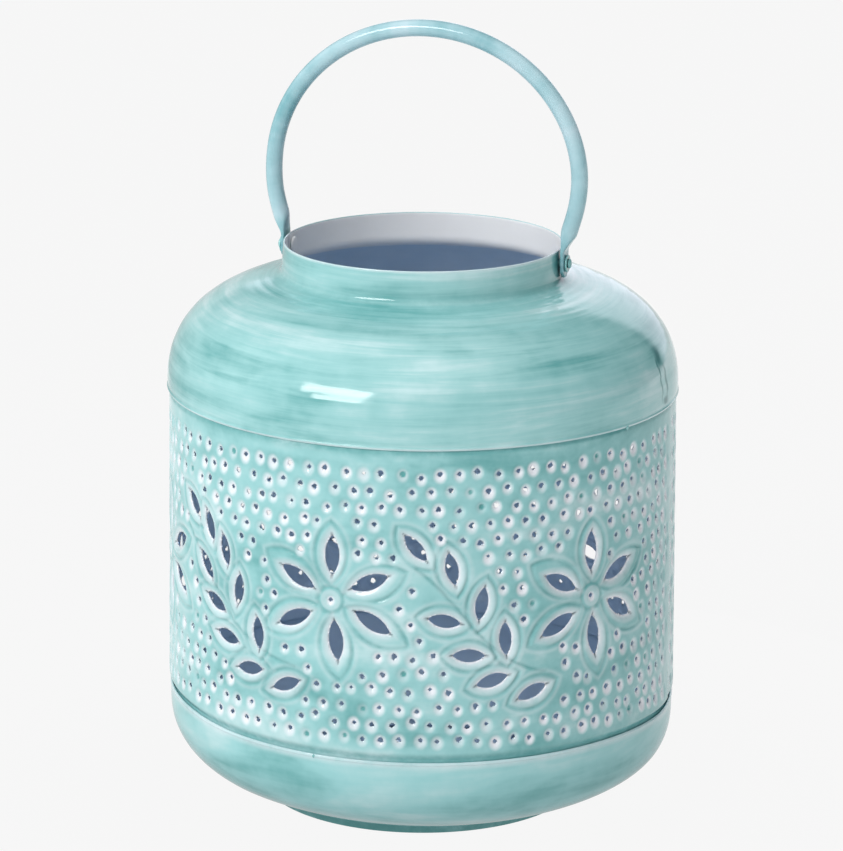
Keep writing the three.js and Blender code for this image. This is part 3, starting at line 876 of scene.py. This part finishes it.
def handle():
    line = handle_line()
    sides = 32
    out = normals_of(line)
    z = line[:, 1]
    flat = 1 - smooth(EAR_TOP, ROUND_Z, z)
    middle = np.sign(line[:, 0]) * (EAR_X + LEG_OUT * (1 - flat))
    squeeze = 1 + (EAR_THICKNESS / (2 * TUBE_R) - 1) * flat
    low = z < ROUND_Z
    line[:, 0] = np.where(low, middle + (line[:, 0] - middle) * squeeze, line[:, 0])
    thick = TUBE_R + (EAR_THICKNESS / 2 - TUBE_R) * flat
    wide = TUBE_R + (EAR_WIDTH / 2 - TUBE_R) * flat
    wide = wide - EAR_ROUNDING * smooth(2.7, 0, z - EAR_END)
    square = 2 + 4 * flat
    phi = np.arange(sides) * TAU / sides
    c, s = np.cos(phi), np.sin(phi)
    power = 2 / square[:, None]
    across = np.sign(c) * np.abs(c) ** power * thick[:, None]
    side = np.sign(s) * np.abs(s) ** power * wide[:, None]
    fold = 0.35 * np.exp(-(((z - PIVOT_Z - 8.6) / 1.6) ** 2))[:, None] * np.exp(-((side / 2.6) ** 2))
    across = np.where(across > 0, across - fold, across)
    lean = HANDLE_LEAN * smooth(ROUND_Z, ROUND_Z + 25, z)
    x = (line[:, 0] + lean)[:, None] + across * out[:, 0][:, None]
    zz = z[:, None] + across * out[:, 1][:, None]
    points = np.stack([x, side, zz], -1).reshape(-1, 3)
    rows = len(line)
    quads = grid_quads(rows, sides)[:, ::-1]
    caps = [np.arange(sides)[None, :], (np.arange(sides) + (rows - 1) * sides)[::-1][None, :]]
    run = np.cumsum(np.concatenate([[0], np.hypot(*np.diff(line, axis=0).T)]))
    runs = np.repeat(run * MM, sides)
    fields = {"run": runs, "pool": np.repeat(0.9 * flat, sides)}
    piece = mesh_object("handle_bail", points, quads, caps, attributes=fields)
    coat = enamel("handle_enamel", streaks=0.3, roughness=0.1, **HANDLE_COLOURS)
    piece.data.materials.append(coat)
    return piece


# ---------------------------------------------------------------- rivets and washers
def turned_about_x(section, side, columns=48):
    """A small part turned about the hinge line, as its points with their rows and columns.

    section holds (distance along X, radius).
    """
    section = np.array(section, float)
    rows = len(section)
    angle = np.arange(columns) * TAU / columns
    x = np.repeat(section[:, 0], columns) * side
    y = (section[:, 1][:, None] * np.cos(angle)).ravel() * side
    z = (section[:, 1][:, None] * np.sin(angle)).ravel() + PIVOT_Z
    return np.stack([x, y, z], 1), rows, columns


def rounded(corners, radius, steps=3):
    """A closed section with its corners rounded off."""
    corners = np.array(corners, float)
    line = []
    for before, corner, after in zip(np.roll(corners, 1, 0), corners, np.roll(corners, -1, 0)):
        a, b = before - corner, after - corner
        reach = min(radius, 0.45 * np.hypot(*a), 0.45 * np.hypot(*b))
        start = corner + a / np.hypot(*a) * reach
        end = corner + b / np.hypot(*b) * reach
        for t in np.linspace(0, 1, steps + 1):
            line.append((1 - t) ** 2 * start + 2 * (1 - t) * t * corner + t * t * end)
    return np.array(line)


def washer(side_name, side):
    low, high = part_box(f"washer_{side_name}")
    x0, x1 = sorted((abs(low.x) / MM, abs(high.x) / MM))
    outer = (high.z - low.z) / 2 / MM
    corners = [(x0, WASHER_BORE_R), (x1, WASHER_BORE_R), (x1, outer), (x0, outer)]
    section = rounded(corners, 0.2)
    points, rows, columns = turned_about_x(section, side)
    quads = grid_quads(rows, columns, closed_rows=True)
    return mesh_object(f"washer_{side_name}_enamelled", points, quads)


def rivet(side_name, side):
    low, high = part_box(f"rivet_{side_name}")
    tail, head = sorted((abs(low.x) / MM, abs(high.x) / MM))
    tail_r = (high.z - low.z) / 2 / MM
    under = head - 1.0
    dome = [(under + 0.2 + 0.8 * math.cos(a), 1.9 * math.sin(a)) for a in np.linspace(0.06, math.pi / 2, 9)]
    section = [
        *dome, (under + 0.04, 1.86), (under, 1.7), (under, RIVET_SHANK_R), (tail + 0.8, RIVET_SHANK_R),
        (tail + 0.8, tail_r - 0.15), (tail + 0.65, tail_r), (tail + 0.3, tail_r - 0.02),
        (tail + 0.06, tail_r - 0.3), (tail, tail_r - 0.7), (tail, 0.25),
    ]
    points, rows, columns = turned_about_x(section, side)
    quads = grid_quads(rows, columns)
    caps = [np.arange(columns)[::-1][None, :], (np.arange(columns) + (rows - 1) * columns)[None, :]]
    on_tail = np.arange(rows - 1) >= len(dome) + 3
    coats = np.concatenate([np.repeat(on_tail, columns), [False, True]])
    return mesh_object(f"rivet_{side_name}_enamelled", points, quads, caps, slots=coats)


def drip(name, degrees, z, size):
    """A bead of enamel that ran to a lip and set there."""
    angle = math.radians(degrees)
    rings, columns = 9, 20
    polar = np.linspace(0.12, math.pi - 0.12, rings)[:, None]
    turn = (np.arange(columns) * TAU / columns)[None, :]
    sag = 1 + 0.35 * smooth(math.pi * 0.4, math.pi * 0.9, polar)
    side = 0.75 * size * np.sin(polar) * np.cos(turn)
    depth = 0.42 * size * np.sin(polar) * np.sin(turn)
    height = 0.85 * size * np.cos(polar) * sag * np.ones_like(side)
    out = np.array([*direction(angle), 0])
    around = np.array([math.cos(angle), math.sin(angle), 0])
    middle = out * (SHELL_R + 0.1) + np.array([0, 0, z])
    points = middle + side[..., None] * around + depth[..., None] * out
    points = points + height[..., None] * np.array([0, 0, 1.0])
    quads = grid_quads(rings, columns)
    caps = [np.arange(columns)[None, :], (np.arange(columns) + (rings - 1) * columns)[::-1][None, :]]
    return mesh_object(name, points.reshape(-1, 3), quads[:, ::-1], caps)


# ---------------------------------------------------------------- stage, light and camera
VIEW_AZIMUTH = math.radians(17.0)
VIEW_ELEVATION = math.radians(14.97)
VIEW_ROLL = math.radians(0.3)
DISTANCE = 1593.5
AIM_Z = 147.75
AIM_SIDE = -0.47
SENSOR = 36.0
LENS = 170.24
KEY_RADIANCE = 11.5
KEY_COLOUR = (1.0, 0.99, 0.98)
FLOOR_HALF = 6000
TURNTABLE_R = 260


def from_view(azimuth, elevation, distance, centre=(0, 0, 150)):
    """A place at an azimuth from the camera's, right positive, and an elevation, round a centre."""
    a, e = VIEW_AZIMUTH + math.radians(azimuth), math.radians(elevation)
    way = Vector((math.sin(a) * math.cos(e), -math.cos(a) * math.cos(e), math.sin(e)))
    return (Vector(centre) + way * distance) * MM


def aimed(place, target):
    """A rotation that points an object's -Z from a place to a target."""
    return (target - place).to_track_quat("-Z", "Y").to_euler()


def camera():
    right = Vector((math.cos(VIEW_AZIMUTH), math.sin(VIEW_AZIMUTH), 0))
    aim = right * AIM_SIDE + Vector((0, 0, AIM_Z))
    data = bpy.data.cameras.new("camera")
    data.sensor_width = SENSOR
    data.lens = LENS
    data.clip_start, data.clip_end = 0.05, 50
    eye = bpy.data.objects.new("camera", data)
    bpy.context.scene.collection.objects.link(eye)
    eye.location = from_view(0, math.degrees(VIEW_ELEVATION), DISTANCE, aim)
    look = aimed(eye.location, aim * MM).to_matrix().to_4x4() @ Matrix.Rotation(VIEW_ROLL, 4, "Z")
    eye.rotation_euler = look.to_euler()
    bpy.context.scene.camera = eye


def softbox(name, azimuth, elevation, distance, width, height, radiance, colour=(1, 1, 1)):
    data = bpy.data.lights.new(name, "AREA")
    data.shape = "RECTANGLE"
    data.size, data.size_y = width * MM, height * MM
    data.energy = radiance * math.pi * data.size * data.size_y
    data.color = colour
    lamp = bpy.data.objects.new(name, data)
    bpy.context.scene.collection.objects.link(lamp)
    lamp.location = from_view(azimuth, elevation, distance)
    lamp.rotation_euler = aimed(lamp.location, Vector((0, 0, 0.15)))
    lamp.visible_camera = False


def lights():
    softbox("key_softbox_upper", -42, 32.5, 1500, 780, 265, KEY_RADIANCE, KEY_COLOUR)
    softbox("key_softbox_lower", -39.5, 24.5, 1500, 560, 105, KEY_RADIANCE, KEY_COLOUR)
    softbox("fill_left", -100, 25, 1700, 900, 1200, 0.75)
    softbox("fill_front", 18, 52, 1700, 1500, 900, 0.8)


def world():
    """A dim studio that is brighter at the left, right overhead and in a low patch at the back.

    The camera itself sees a plain pale background in its place.
    """
    surroundings = bpy.data.worlds.new("studio")
    surroundings.use_nodes = True
    tree = surroundings.node_tree
    n = Nodes(tree)
    way = n.add("ShaderNodeTexCoord", {}, output=0)
    _, _, up = n.split(way)
    left = from_view(-70, 0, 1, (0, 0, 0)).normalized()
    aside = n.add("ShaderNodeVectorMath", {0: way, 1: tuple(left)}, output=1, operation="DOT_PRODUCT")
    behind = from_view(166, 8, 1, (0, 0, 0)).normalized()
    facing = n.add("ShaderNodeVectorMath", {0: way, 1: tuple(behind)}, output=1, operation="DOT_PRODUCT")
    dim = n.mix(n.remap(aside, -0.6, 0.9), (0.10, 0.103, 0.107, 1), (0.62, 0.63, 0.63, 1))
    overhead = n.mix(n.remap(up, 0.7, 1.0), dim, (1.35, 1.35, 1.35, 1))
    patch = n.mix(n.remap(facing, 0.88, 0.93), dim, (1.5, 1.5, 1.65, 1))
    colour = n.mix(n.remap(up, 0.5, 0.7), patch, overhead)
    seen = n.add("ShaderNodeLightPath", {}, output="Is Camera Ray")
    colour = n.mix(seen, colour, (0.922, 0.922, 0.922, 1))
    n.link(colour, tree.nodes["Background"].inputs["Color"])
    bpy.context.scene.world = surroundings


def glowing(name, points, strength):
    """A flat sheet of the set that gives an even light. strength is a number or a node socket."""
    mesh = bpy.data.meshes.new(name)
    mesh.from_pydata([tuple(c * MM for c in point) for point in points], [], [tuple(range(len(points)))])
    sheet = bpy.data.objects.new(name, mesh)
    bpy.context.scene.collection.objects.link(sheet)
    n = MaterialNodes(name)
    n.shader.inputs["Base Color"].default_value = (0.02, 0.02, 0.02, 1)
    n.shader.inputs["Roughness"].default_value = 1.0
    n.shader.inputs["Specular IOR Level"].default_value = 0.0
    n.shader.inputs["Emission Color"].default_value = (1, 1, 1, 1)
    n.link(strength(n) if callable(strength) else strength, n.shader.inputs["Emission Strength"])
    mesh.materials.append(n.material)
    return sheet


def floor():
    """A plain pale floor, lit evenly as a white sweep is, with a duller turntable under the lantern.

    The turntable and the grey card at the back left are out of the camera's sight. The enamel
    mirrors them instead of the white floor, so that its edges stay visible against it.
    """
    corners = [(x * FLOOR_HALF, y * FLOOR_HALF, -0.3) for x, y in ((-1, -1), (1, -1), (1, 1), (-1, 1))]
    glowing("pale_floor", corners, 0.91)

    def duller_near(n):
        place = n.add("ShaderNodeTexCoord", {}, output=3)
        reach = n.add("ShaderNodeVectorMath", {0: place}, output=1, operation="LENGTH")
        return n.remap(reach, 0.06, 0.22, 0.50, 0.95)

    turns = np.arange(48) * TAU / 48
    circle = [(TURNTABLE_R * math.cos(a), TURNTABLE_R * math.sin(a), -0.15) for a in turns]
    turntable = glowing("turntable", circle, duller_near)
    turntable.visible_camera = False

    left, right = (from_view(a, 0, 900, (0, 0, 0)) / MM for a in (-178, -110))
    card = [(left.x, left.y, 0), (right.x, right.y, 0), (right.x, right.y, 380), (left.x, left.y, 380)]
    glowing("grey_card", card, 0.6).visible_camera = False


# ---------------------------------------------------------------- putting it together
def rides(piece, body, slot, *nodes):
    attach(piece, body)
    if nodes:
        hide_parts(*nodes)


camera()
world()
lights()
floor()

rides(top_shell(), "lantern", "shell_enamel", "top_shell")
rides(bottom_shell(), "lantern", "shell_enamel", "bottom_shell")
rides(perforated_band(), "lantern", "band_enamel", "perforated_band")
rides(handle(), "handle", "handle_enamel", "handle")
small_enamel = enamel("rivet_enamel", streaks=0.2, roughness=0.14)
neck_enamel = inner_enamel("rivet_tail_enamel")
for side_name, side in (("left", -1), ("right", 1)):
    for make in (washer, rivet):
        part = make(side_name, side)
        part.data.materials.append(small_enamel)
        part.data.materials.append(neck_enamel)
        rides(part, "lantern", "rivet_enamel", f"{make.__name__}_{side_name}")
for name, degrees, z, size in (
    ("enamel_drip_upper", 67.5, TOP_SEAM + 0.1, 1.0),
    ("enamel_drip_lower", -7, BOTTOM_SEAM - 1.3, 0.7),
):
    bead = drip(name, degrees, z, size)
    bead.data.materials.append(small_enamel)
    rides(bead, "lantern", "shell_enamel")

bpy.context.scene.view_settings.view_transform = "Standard"
bpy.context.scene.view_settings.look = "None"
